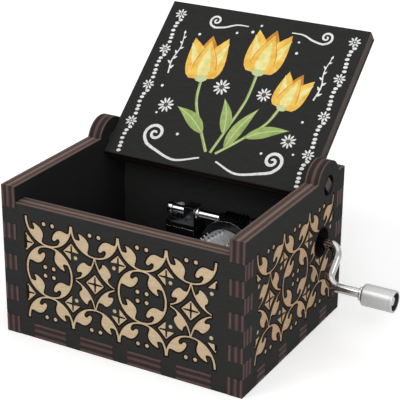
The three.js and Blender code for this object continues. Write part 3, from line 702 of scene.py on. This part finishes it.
def tulip(x, y, size, lean):
    """A tulip head: three rows of petals, pale edges and amber folds."""
    parts = [(petal(1.0, 0.62) + (0, 0.02), AMBER)]
    for turn, length, width, aside, rise, code in ((0.34, 1.02, 0.56, 0.02, 0, YELLOW),
                                                   (0.42, 0.86, 0.2, 0.05, 0.06, PALE)):
        for side in (1, -1):
            parts.append((rotated(petal(length, width), side * turn) + (-side * aside, rise), code))
    parts += [(petal(0.92, 0.56) + (0, -0.02), YELLOW), (petal(0.74, 0.26) + (0, 0.03), PALE)]
    for side in (-1, 1):
        fold = smooth_line([(0.26 * side, 0.22), (0.2 * side, 0.5), (0.05 * side, 0.82)])
        parts.append((stroke(fold, 0.015), AMBER))
    parts.append((dot(0, 0.02, 0.13, 12, 0.6), LIGHT_GREEN))
    return [(rotated(shape * size, lean) + (x, y), code) for shape, code in parts]


def blade(x, y, length, width, turn, bend):
    """A long leaf with a point at each end, its rib down the middle; a bend bows it sideways."""
    share = np.linspace(0, 1, 17)
    middle = np.stack([bend * np.sin(np.pi * share), share * length], axis=1)
    half = np.maximum(width * np.sin(np.pi * share ** 0.75) ** 1.1, 0.02)
    return [(rotated(stroke(middle, half), turn) + (x, y), GREEN),
            (rotated(stroke(middle[1:-1], 0.28), turn) + (x, y), LIGHT_GREEN)]


def scroll(x, y, size, turns, start, hand, tail, width):
    """A chalk scroll: a spiral that runs out into a tail."""
    share = np.linspace(0, 1, 64)
    angle = start + hand * 2 * np.pi * turns * share
    radius = size * (0.1 + 0.9 * share ** 1.2)
    coil = np.stack([x + radius * np.cos(angle), y + radius * np.sin(angle)], axis=1)
    lead = coil[-1] + (coil[-1] - coil[-3])
    line = np.vstack([coil[::2], smooth_line([coil[-1], lead, *tail], 8)[2:]])
    swell = 0.45 + 0.55 * np.sin(np.pi * np.linspace(0.12, 0.97, len(line)))
    return stroke(line, width * swell), WHITE


def bead_border(x, top, pitch):
    """Rosettes with seven beads after each, down one side of the lid."""
    layers = []
    beads = ((0.62, 1.8), (0.03, 2.82), (-0.07, 3.87), (-0.14, 5.18), (0.14, 6.48), (0.23, 7.48), (0.38, 8.72))
    bead = rotated(dot(0, 0, 0.6, 12, 0.42 / 0.6), 0.15)
    for row in range(4):
        y = top - pitch * row
        layers += daisy(x - 0.03 * row, y, 1.65, 8, squash=0.94)
        layers += [(bead + (x + sway - 0.07 * row, y - drop * pitch / 11), WHITE) for sway, drop in beads]
    return layers


def sprig(points, count, size):
    """A chalk twig with small leaves on alternate sides and one at its tip."""
    line = smooth_line(points, 8)
    layers = [(stroke(line, 0.42 * np.linspace(1, 0.5, len(line))), WHITE)]
    for index in range(count):
        place = int((index + 1) / (count + 1) * (len(line) - 1))
        x, y = line[place] - line[place - 1]
        angle = math.atan2(-x, y) + (0.85 if index % 2 else -0.85)
        scale = size * (1 - 0.4 * index / count)
        layers.append((rotated(petal(scale, 0.5 * scale), angle) + line[place], WHITE))
    x, y = line[-1] - line[-3]
    tip = rotated(petal(0.7 * size, 0.4 * size), math.atan2(-x, y)) + line[-1] - (0.1 * size * x, 0.1 * size * y)
    return layers + [(tip, WHITE)]


def lid_print():
    layers = bead_border(-24.3, 38.5, 11.06) + bead_border(25.0, 38.4, 10.9)
    stems = [
        [(-10.7, 21.0), (-9.2, 14.0), (-5.0, 7.0), (-1.0, 1.0)],
        [(3.5, 25.5), (3.6, 17.0), (2.0, 9.0), (0.2, 1.0)],
        [(13.2, 17.0), (11.2, 11.5), (6.5, 6.0), (1.6, 1.0)],
    ]
    layers += [(stroke(smooth_line(stem, 8), 0.75), GREEN) for stem in stems]
    layers += [(stroke(smooth_line(stem, 8) + (0.12, 0.1), 0.25), LIGHT_GREEN) for stem in stems]
    layers += blade(-4.0, 5.6, 11.5, 3.5, 1.0, 0.7) + blade(1.5, 6.6, 10.5, 3.1, 0.35, 0.6)
    layers += blade(3.2, 2.8, 13.5, 3.3, -0.36, -0.7) + blade(7.2, 6.8, 11.5, 3.2, -1.2, -0.7)
    layers += tulip(-10.8, 20.5, 13.0, 0.14) + tulip(3.5, 25.0, 13.0, -0.03) + tulip(13.4, 16.5, 10.5, -0.2)
    layers += daisy(-4.3, 19.4, 2.3, 10, 0.1, BROWN) + daisy(7.6, 19.4, 2.0, 10, 0.3, BROWN)
    layers += daisy(-17.0, 11.6, 2.2, 10, 0.2, BROWN) + daisy(18.7, 8.2, 2.0, 10, 0.5, BROWN)
    layers += [
        scroll(-16.4, 3.2, 3.0, 1.6, 0.4, 1, [(-14.6, -1.2), (-8.5, -2.9), (-2.0, -0.9)], 0.85),
        scroll(16.8, 2.2, 2.8, 1.6, 2.7, -1, [(14.8, -1.8), (8.8, -3.1), (2.6, -1.0)], 0.85),
        scroll(-13.6, 38.2, 1.9, 1.5, 1.57, 1, [(-10.4, 36.7), (-7.4, 37.9), (-4.2, 38.0)], 0.6),
        scroll(17.4, 38.4, 1.9, 1.5, 1.57, -1, [(14.2, 36.9), (11.2, 38.1), (8.0, 38.2)], 0.6),
    ]
    layers += sprig([(-20.4, 20.6), (-21.0, 24.6), (-20.2, 28.8), (-20.8, 33.0)], 7, 1.5)
    layers += sprig([(20.6, 20.4), (21.2, 24.4), (20.4, 28.6), (21.0, 32.8)], 7, 1.5)
    for x, y, radius in ((-2.5, 36.6, 0.45), (-0.8, 38.8, 0.35), (11.4, 32.6, 0.4), (10.8, 35.8, 0.32),
                         (-20.4, 16.8, 0.4), (-16.6, 33.4, 0.4), (20.2, 14.0, 0.35), (-6.6, 35.6, 0.35),
                         (-10.4, 4.2, 0.4), (13.2, 3.6, 0.35), (-18.6, 9.0, 0.32), (21.2, 5.0, 0.32)):
        layers.append((dot(x, y, radius, 10), WHITE))
    return layers


# ---- turned and bent pieces ----


def tube_faces(start, rings, sides):
    """Faces of a tube through rings of points, the first of which is at start; its two ends come last."""
    rows = start + np.arange(rings * sides).reshape(rings, sides)
    after = np.roll(rows, -1, axis=1)
    sleeve = np.stack([rows[:-1], after[:-1], after[1:], rows[1:]], axis=2).reshape(-1, 4)
    return [*sleeve.tolist(), rows[0, ::-1].tolist(), rows[-1].tolist()]


def turned_piece(name, outline, place, materials, sides, choice=None):
    """A turned piece about its own Z; the outline holds pairs of radius and height, outside going up."""
    turns = [2 * math.pi * k / sides for k in range(sides)]
    vertices = [(radius * math.cos(turn), radius * math.sin(turn), height)
                for radius, height in outline for turn in turns]
    kinds = np.repeat(choice, sides) if choice else None
    return build(name, vertices, tube_faces(0, len(outline), sides)[:-2], materials, kinds, place, 35)


def rounded(corners, radius, steps):
    """An outline with its inner corners rounded off."""
    out = [corners[0]]
    for before, here, after in zip(corners, corners[1:], corners[2:]):
        here, before, after = Vector(here), Vector(before), Vector(after)
        reach = min(radius, 0.45 * (before - here).length, 0.45 * (after - here).length)
        start = here + (before - here).normalized() * reach
        end = here + (after - here).normalized() * reach
        for step in range(steps + 1):
            t = step / steps
            out.append(tuple((1 - t) ** 2 * start + 2 * t * (1 - t) * here + t * t * end))
    return out + [corners[-1]]


def washer(name, bore, radius, height, place, material, ease=0.08):
    """A flat ring with eased edges, from its own Z = 0 up."""
    corners = [(bore, height / 2), (bore, 0), (radius, 0), (radius, height), (bore, height), (bore, height / 2)]
    return turned_piece(name, rounded(corners, ease, 2), place, [material], 72)


ALONG_X = Matrix(((0, 0, 1, 0), (1, 0, 0, 0), (0, 1, 0, 0), (0, 0, 0, 1)))
ALONG_Y = Matrix(((0, 1, 0, 0), (0, 0, 1, 0), (1, 0, 0, 0), (0, 0, 0, 1)))


def on_cylinder(y):
    """A frame whose Z runs along the cylinder's arbor."""
    return moved(CYLINDER_X, y, CYLINDER_Z) @ ALONG_Y


CRANK_FRAME = moved(0, SHAFT_Y, SHAFT_Z) @ Matrix.Rotation(CRANK_ANGLE, 4, "X")


def on_crank(x, drop=0.0):
    """A frame whose Z runs along the crank shaft, or along its handle when dropped by the throw."""
    return CRANK_FRAME @ moved(x, 0, -drop) @ ALONG_X


def ring(centre, first, second, radius, sides):
    """Points of a circle in the plane of two directions."""
    turns = [2 * math.pi * k / sides for k in range(sides)]
    return [centre + radius * (math.cos(turn) * first + math.sin(turn) * second) for turn in turns]


def bent_rod(name, path, radius, place, material, sides=40, ease=0.15):
    """A round rod along a path in its own XZ plane, with eased ends."""
    path = [Vector((x, 0, z)) for x, z in path]
    ahead = [(end - start).normalized() for start, end in zip(path, path[1:])]
    stations = [(path[0], ahead[0], radius - ease), (path[0] + ahead[0] * ease, ahead[0], radius)]
    stations += [(here, (last + own).normalized(), radius) for here, last, own in zip(path[1:], ahead, ahead[1:])]
    stations += [(path[-1] - ahead[-1] * ease, ahead[-1], radius), (path[-1], ahead[-1], radius - ease)]
    side = Vector((0, 1, 0))
    vertices = [point for centre, along, size in stations
                for point in ring(centre, side, along.cross(side), size, sides)]
    return build(name, vertices, tube_faces(0, len(stations), sides), [material], None, place, 40)


def bend(centre_x, centre_z, radius, start, end, steps=16):
    """Points of a bend in the rod."""
    return [(centre_x + radius * math.cos(angle), centre_z + radius * math.sin(angle))
            for angle in np.linspace(start, end, steps)]


def eased_copy(name, node, width, segments, *materials):
    """A copy of a CAD node with its sharp edges eased; the eased edges have the last of the materials."""
    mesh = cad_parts[node].data.copy()
    mesh.name = name
    mesh.materials.clear()
    for material in materials:
        mesh.materials.append(material)
    work = welded(mesh, 1e-6)
    bmesh.ops.dissolve_limit(work, angle_limit=math.radians(1), verts=work.verts, edges=work.edges)
    if width:
        sharp = [edge for edge in work.edges if edge.calc_face_angle(0) > math.radians(30)]
        bmesh.ops.bevel(work, geom=sharp, offset=width * MM, segments=segments, profile=0.5, affect="EDGES",
                        clamp_overlap=True, material=len(materials) - 1)
    work.to_mesh(mesh)
    work.free()
    if "custom_normal" in mesh.attributes:
        mesh.attributes.remove(mesh.attributes["custom_normal"])
    finish_shading(mesh, 30)
    return show(name, mesh)


def slotted_screw(name, head, height, shank, length, slot, place):
    """A slotted screw, head up, with the underside of its head at its own origin."""
    corners = [(0, -length), (shank, -length), (shank, 0), (head, 0), (head, height), (0, height)]
    piece = turned_piece(name, rounded(corners, 0.14 * head, 3), place, [SCREW_STEEL], 64)
    corners = [(x * slot / 2, y * 2 * head, height * level)
               for level in (0.55, 1.5) for y in (-1, 1) for x in (-1, 1)]
    sides = [(0, 2, 3, 1), (4, 5, 7, 6), (0, 1, 5, 4), (2, 6, 7, 3), (0, 4, 6, 2), (1, 3, 7, 5)]
    cutter = build(name + "_cutter", corners, sides, [SCREW_STEEL], place=place, smooth=0)
    cut = piece.modifiers.new("slot", "BOOLEAN")
    cut.object = cutter
    cut.operation = "DIFFERENCE"
    cut.solver = "EXACT"
    bpy.context.view_layer.update()
    uncut = piece.data
    piece.data = bpy.data.meshes.new_from_object(piece.evaluated_get(bpy.context.evaluated_depsgraph_get()))
    piece.modifiers.clear()
    bpy.data.meshes.remove(uncut)
    bpy.data.objects.remove(cutter)
    piece.data.materials.clear()
    piece.data.materials.append(SCREW_STEEL)
    finish_shading(piece.data, 35)
    return piece


# ---- the box ----

WIDE = ("ring", "diamond", "ring", "diamond")
NARROW = ("diamond", "ring", "diamond")
HOLE_RADIUS, HOLE_MARGIN = 3.65, 0.3
HOLE_GUARD = dot(SHAFT_Y, SHAFT_Z, HOLE_RADIUS + HOLE_MARGIN, 48)
END_SCALE, SIDE_SCALE = (1.0, 1.008), (1.048, 1.048)
# Inner faces take the paint darkened as painted shade, but the back wall's inner face takes the plain paint.
for side, x, y, centre, scale, columns, guard, wood, inner in (
        ("front", 0, -1, (-0.17, 18.5), END_SCALE, WIDE, None, BARE, INSIDE_PAINTED_SHADE),
        ("back", 0, 1, (0, 18.4), END_SCALE, WIDE, None, BARE, PAINT),
        # The side walls take the engraved birch darkened as painted shade.
        ("right", 1, 0, (0, 19.12), SIDE_SCALE, NARROW, HOLE_GUARD, SIDE_BARE_PAINTED_SHADE, INSIDE_PAINTED_SHADE),
        ("left", -1, 0, (0, 19.12), SIDE_SCALE, NARROW, None, SIDE_BARE_PAINTED_SHADE, INSIDE_PAINTED_SHADE)):
    place = moved(x * HALF_WIDTH, y * HALF_DEPTH, 0) @ Matrix(((-y, 0, x), (x, 0, y), (0, 1, 0))).to_4x4()
    ornament = scrollwork(centre, scale, columns, guard)
    settle(panel(side + "_panel", side + "_wall", place, ornament, [SCORCHED], wood, inner),
           "box", "plywood", side + "_wall")
place = moved(0, PIVOT_Y, PIVOT_Z) @ Matrix.Rotation(LID_ANGLE, 4, "X") @ moved(0, 0, LID_PLY / 2)
settle(panel("lid_panel", "lid", place, lid_print(), PRINTS, BARE, PAINT, LID_PLY, LID_EDGE), "lid", "plywood", "lid")


def base_panel():
    """Bottom plate: faces in the inside paint, darkened as painted shade, browned edges, eased all round."""
    piece = eased_copy("base_panel", "bottom_plate", 0.1, 1, INSIDE_PAINTED_SHADE, EDGE)
    piece.data.transform(moved(0, 0, -PLY))
    piece.matrix_world = moved(0, 0, PLY)
    for face in piece.data.polygons:
        face.material_index = 0 if abs(face.normal.z) > 0.95 else 1
    return piece


settle(base_panel(), "box", "plywood", "bottom_plate")

# ---- the movement ----

# The frame's eased edges carry the painted highlight.
settle(eased_copy("moulded_frame", "movement_frame", 0.3, 3, PLASTIC, EDGE_HIGHLIGHT), "box", "black_plastic", "movement_frame")
settle(eased_copy("bearing_bracket", "shaft_bracket", 0.22, 3, POLISHED), "box", "black_plastic", "shaft_bracket")
settle(eased_copy("tuned_comb", "comb", 0.04, 1, COMB_STEEL), "box", "comb_steel", "comb")


def node_box(node):
    """Lowest and highest corner of a CAD node, in millimetres."""
    low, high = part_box(node)
    return Vector(low) / MM, Vector(high) / MM


# Radius and height of the head, radius and length of the shank, width of the slot
SCREWS = {"comb": (1.7, 0.9, 0.9, 6, 0.4), "bracket": (0.9, 0.6, 0.5, 6, 0.25), "base": (2.4, 1.5, 1.2, 6.5, 0.6)}
for node, turn in (("comb_screw_1", 0.4), ("comb_screw_2", -0.7), ("bracket_screw_1", 0.9), ("bracket_screw_2", 0.2),
                   ("base_screw_1", 0), ("base_screw_2", 0), ("base_screw_3", 0)):
    sizes = SCREWS[node.split("_")[0]]
    low, high = node_box(node)
    if node.startswith("base"):
        seat, facing = low.z + sizes[1], Matrix.Rotation(math.pi, 4, "X")
    else:
        seat, facing = high.z - sizes[1], Matrix.Rotation(turn, 4, "Z")
    place = moved((low.x + high.x) / 2, (low.y + high.y) / 2, seat) @ facing
    settle(slotted_screw(node.replace("screw", "slotted_screw"), *sizes, place), "box", "screw_steel", node)

DRUM_RADIUS, DRUM_WALL = 5.7, 0.5
DRUM_BORE = DRUM_RADIUS - DRUM_WALL
DRUM_FRONT, DRUM_BACK = (corner.y for corner in node_box("pinned_drum"))
DRUM_LENGTH = DRUM_BACK - DRUM_FRONT
corners = [(DRUM_BORE, DRUM_LENGTH / 2), (DRUM_BORE, 0), (DRUM_RADIUS, 0), (DRUM_RADIUS, DRUM_LENGTH),
           (DRUM_BORE, DRUM_LENGTH), (DRUM_BORE, DRUM_LENGTH / 2)]
settle(turned_piece("drum_shell", rounded(corners, 0.1, 2), on_cylinder(DRUM_FRONT), [DRUM_STEEL], 128),
       "cylinder", "drum_steel", "pinned_drum")

PIN_COUNT, PIN_SIDES, PIN_HEIGHT = 234, 6, 0.6
TRACKS, DRUM_MARGIN = 18, 0.6
GOLDEN_ANGLE = math.pi * (3 - math.sqrt(5))


def pins():
    """Pins set in the drum, one track after another, each pin a golden angle on from the last."""
    vertices, faces = [], []
    pitch = (DRUM_LENGTH - 2 * DRUM_MARGIN) / TRACKS
    rings = ((DRUM_RADIUS - 0.1, 0.19), (DRUM_RADIUS + PIN_HEIGHT - 0.05, 0.15), (DRUM_RADIUS + PIN_HEIGHT, 0.1))
    up = Vector((0, 0, 1))
    for index in range(PIN_COUNT):
        along = DRUM_MARGIN + (index % TRACKS + 0.5) * pitch
        out = Vector((math.cos(index * GOLDEN_ANGLE), math.sin(index * GOLDEN_ANGLE), 0))
        side = Vector((-out.y, out.x, 0))
        faces += tube_faces(len(vertices), len(rings), PIN_SIDES)
        for reach, radius in rings:
            vertices += ring(out * reach + up * along, side, up, radius, PIN_SIDES)
    return build("drum_pins", vertices, faces, [PIN_STEEL], None, on_cylinder(DRUM_FRONT), 40)


settle(pins(), "cylinder", "drum_steel")
CAP = 1.5
for side, start in (("front", DRUM_FRONT), ("back", DRUM_BACK - CAP)):
    settle(washer(side + "_cap", 0.9, 5.1, CAP, on_cylinder(start), BRASS, 0.15),
           "cylinder", "cap_brass", "drum_cap_" + side)
low, high = node_box("cylinder_arbor")
corners = [(0, 0), (1.5, 0), (1.5, 0.5), (0.8, 0.5), (0.8, high.y - low.y), (0, high.y - low.y)]
settle(turned_piece("steel_arbor", rounded(corners, 0.15, 3), on_cylinder(low.y), [STEEL], 64),
       "cylinder", "screw_steel", "cylinder_arbor")
settle(washer("arbor_ring", 0.9, 1.6, 0.5, on_cylinder(node_box("arbor_clip")[0].y), STEEL),
       "cylinder", "screw_steel", "arbor_clip")
# The gear and worm take the black nylon darkened with painted shade.
settle(eased_copy("spur_gear", "drive_gear", 0, 1, NYLON_AND_SHADE), "cylinder", "black_plastic", "drive_gear")
settle(eased_copy("worm_screw", "crank_worm", 0, 1, NYLON_AND_SHADE), "crank", "black_plastic", "crank_worm")

# ---- the crank ----

ROD, THROW, ARM_X, BEND = 1.15, 10.1, 36.9, 3.0
SHAFT_START = -9.9
KNOB_START, KNOB_LENGTH, KNOB_RADIUS = 46.4, 7.8, 2.65
KNOB_WALL, HOLLOW_DEPTH = 0.5, 3.0
HOLLOW_FLOOR = KNOB_LENGTH - HOLLOW_DEPTH
RING_GAP, RING_HEIGHT, ROD_STUB = 0.2, 0.6, 1.7
ROD_END = KNOB_START + HOLLOW_FLOOR + RING_GAP + RING_HEIGHT + ROD_STUB

path = [(SHAFT_START, 0), *bend(ARM_X - BEND, -BEND, BEND, math.pi / 2, 0),
        *bend(ARM_X + BEND, BEND - THROW, BEND, math.pi, 1.5 * math.pi), (ROD_END, -THROW)]
settle(bent_rod("bent_rod", path, ROD, CRANK_FRAME, CHROME), "crank", "rod_chrome", "crank_rod")

bore, inside = ROD + 0.2, KNOB_RADIUS - KNOB_WALL
outline = [(bore, HOLLOW_FLOOR), (bore, 0)]
outline += rounded([(bore, 0), (KNOB_RADIUS, 0), (KNOB_RADIUS, 2.0)], 0.8, 8)[1:-1]
outline += [(KNOB_RADIUS - groove, KNOB_LENGTH - back)
            for groove, back in ((0, 0.95), (0.05, 0.9), (0.05, 0.82), (0, 0.77))]
outline += rounded([(KNOB_RADIUS, KNOB_LENGTH - 0.7), (KNOB_RADIUS, KNOB_LENGTH), (inside, KNOB_LENGTH),
                    (inside, KNOB_LENGTH - 1)], 0.14, 4)
outline += [(inside, HOLLOW_FLOOR), (bore, HOLLOW_FLOOR)]
# Rows inside the hollow take its painted shade.
hollow_shade_rows = [int(min(first[0], second[0]) <= inside + 0.01 and max(first[1], second[1]) > 1)
               for first, second in zip(outline, outline[1:])]
settle(turned_piece("spinning_knob", outline, on_crank(KNOB_START, THROW), [SATIN, HOLLOW_SHADE], 128, hollow_shade_rows),
       "knob", "knob_nickel", "crank_knob")
for name, node, radius, height, drop, material, slot, ease in (
        ("bearing_washer", "shaft_washer", ROD + 0.6, 0.5, 0, STEEL, "screw_steel", 0.06),
        ("shaft_sleeve", "shaft_end_clip", 1.5, 1.2, 0, CHROME, "rod_chrome", 0.08),
        ("rod_collar", "knob_collar", ROD + 0.6, 0.6, THROW, CHROME, "rod_chrome", 0.08),
        ("end_ring", "knob_end_clip", 1.6, RING_HEIGHT, THROW, STEEL, "screw_steel", 0.08)):
    place = on_crank(node_box(node)[0].x, drop)
    settle(washer(name, ROD + 0.1, radius, height, place, material, ease), "crank", slot, node)

# ---- floor, light and camera ----


def white_seen(tree, lit, seen, strength):
    """Sets a strength: one value for the light that falls on things, another for the camera and mirrors."""
    ray = tree.nodes.new("ShaderNodeLightPath").outputs
    either = put(tree, "Math", {0: ray["Is Camera Ray"], 1: ray["Is Glossy Ray"]}, 0, operation="MAXIMUM")
    blend = put(tree, "MapRange", {"Value": either, "To Min": lit, "To Max": seen}, "Result")
    tree.links.new(blend, strength)


world = bpy.data.worlds.new("studio")
bpy.context.scene.world = world
world.use_nodes = True
background = world.node_tree.nodes["Background"].inputs
background["Color"].default_value = (1, 1, 1, 1)
white_seen(world.node_tree, 0.3, 1.0, background["Strength"])

# The floor is whiter the further it is from the box, in metres
FLOOR_NEAR, FLOOR_FAR = 0.15, 0.8
NEAR_GLOW, FAR_GLOW = 0.3, 0.72
FLOOR_HALF = 4000
studio = Finish("studio_floor", roughness=0.9, specular=0.0)
white = studio.ramp(studio.noise(3, 2, 0.5), [(0.3, (251.6, 251.6, 251.6)), (0.7, (255, 255, 255))])
studio.tree.links.new(white, studio.shader["Base Color"])
studio.shader["Emission Color"].default_value = (1, 1, 1, 1)
distance = put(studio.tree, "VectorMath", {0: studio.place}, "Value", operation="LENGTH")
glow = put(studio.tree, "MapRange", {"Value": distance, "From Min": FLOOR_NEAR, "From Max": FLOOR_FAR,
                                     "To Min": NEAR_GLOW, "To Max": FAR_GLOW}, "Result")
white_seen(studio.tree, 0.0, glow, studio.shader["Emission Strength"])
corners = [(x * FLOOR_HALF, y * FLOOR_HALF, 0) for x, y in ((-1, -1), (1, -1), (1, 1), (-1, 1))]
floor = build("floor", corners, [(0, 1, 2, 3)], [studio.material], smooth=0)

# Name, place, width and power of each light, in metres and watts
for name, place, size, power in (("key", (-0.35, -0.5, 0.75), 0.5, 2.4), ("fill", (0.8, -0.15, 0.4), 0.5, 1.6),
                                 ("top", (0.05, 0.3, 0.85), 1.0, 2.1), ("front", (0.36, -0.68, 0.44), 0.5, 2.8)):
    lamp = bpy.data.lights.new(name, "AREA")
    lamp.shape = "DISK"
    lamp.size = size
    lamp.energy = power
    light = show(name, lamp)
    light.location = place
    light.rotation_euler = (Vector((0, 0, 0.02)) - Vector(place)).to_track_quat("-Z", "Y").to_euler()

# The camera that was fitted to the photo
VIEW_AZIMUTH, VIEW_ELEVATION, VIEW_ROLL = (math.radians(angle) for angle in (29.1837, 23.0954, 0.5304))
VIEW_PLACE = (155.313, -266.364, 163.105)
FOCAL_PIXELS, PHOTO_WIDTH, SENSOR = 1412.69, 400, 36
camera_data = bpy.data.cameras.new("photo_view")
camera_data.sensor_width = SENSOR
camera_data.lens = SENSOR * FOCAL_PIXELS / PHOTO_WIDTH
camera_data.clip_start = 0.01
camera = show("photo_view", camera_data)
camera.matrix_world = (moved(*VIEW_PLACE) @ Matrix.Rotation(VIEW_AZIMUTH, 4, "Z")
                       @ Matrix.Rotation(math.pi / 2 - VIEW_ELEVATION, 4, "X") @ Matrix.Rotation(VIEW_ROLL, 4, "Z"))
bpy.context.scene.camera = camera
bpy.context.scene.view_settings.view_transform = "Standard"
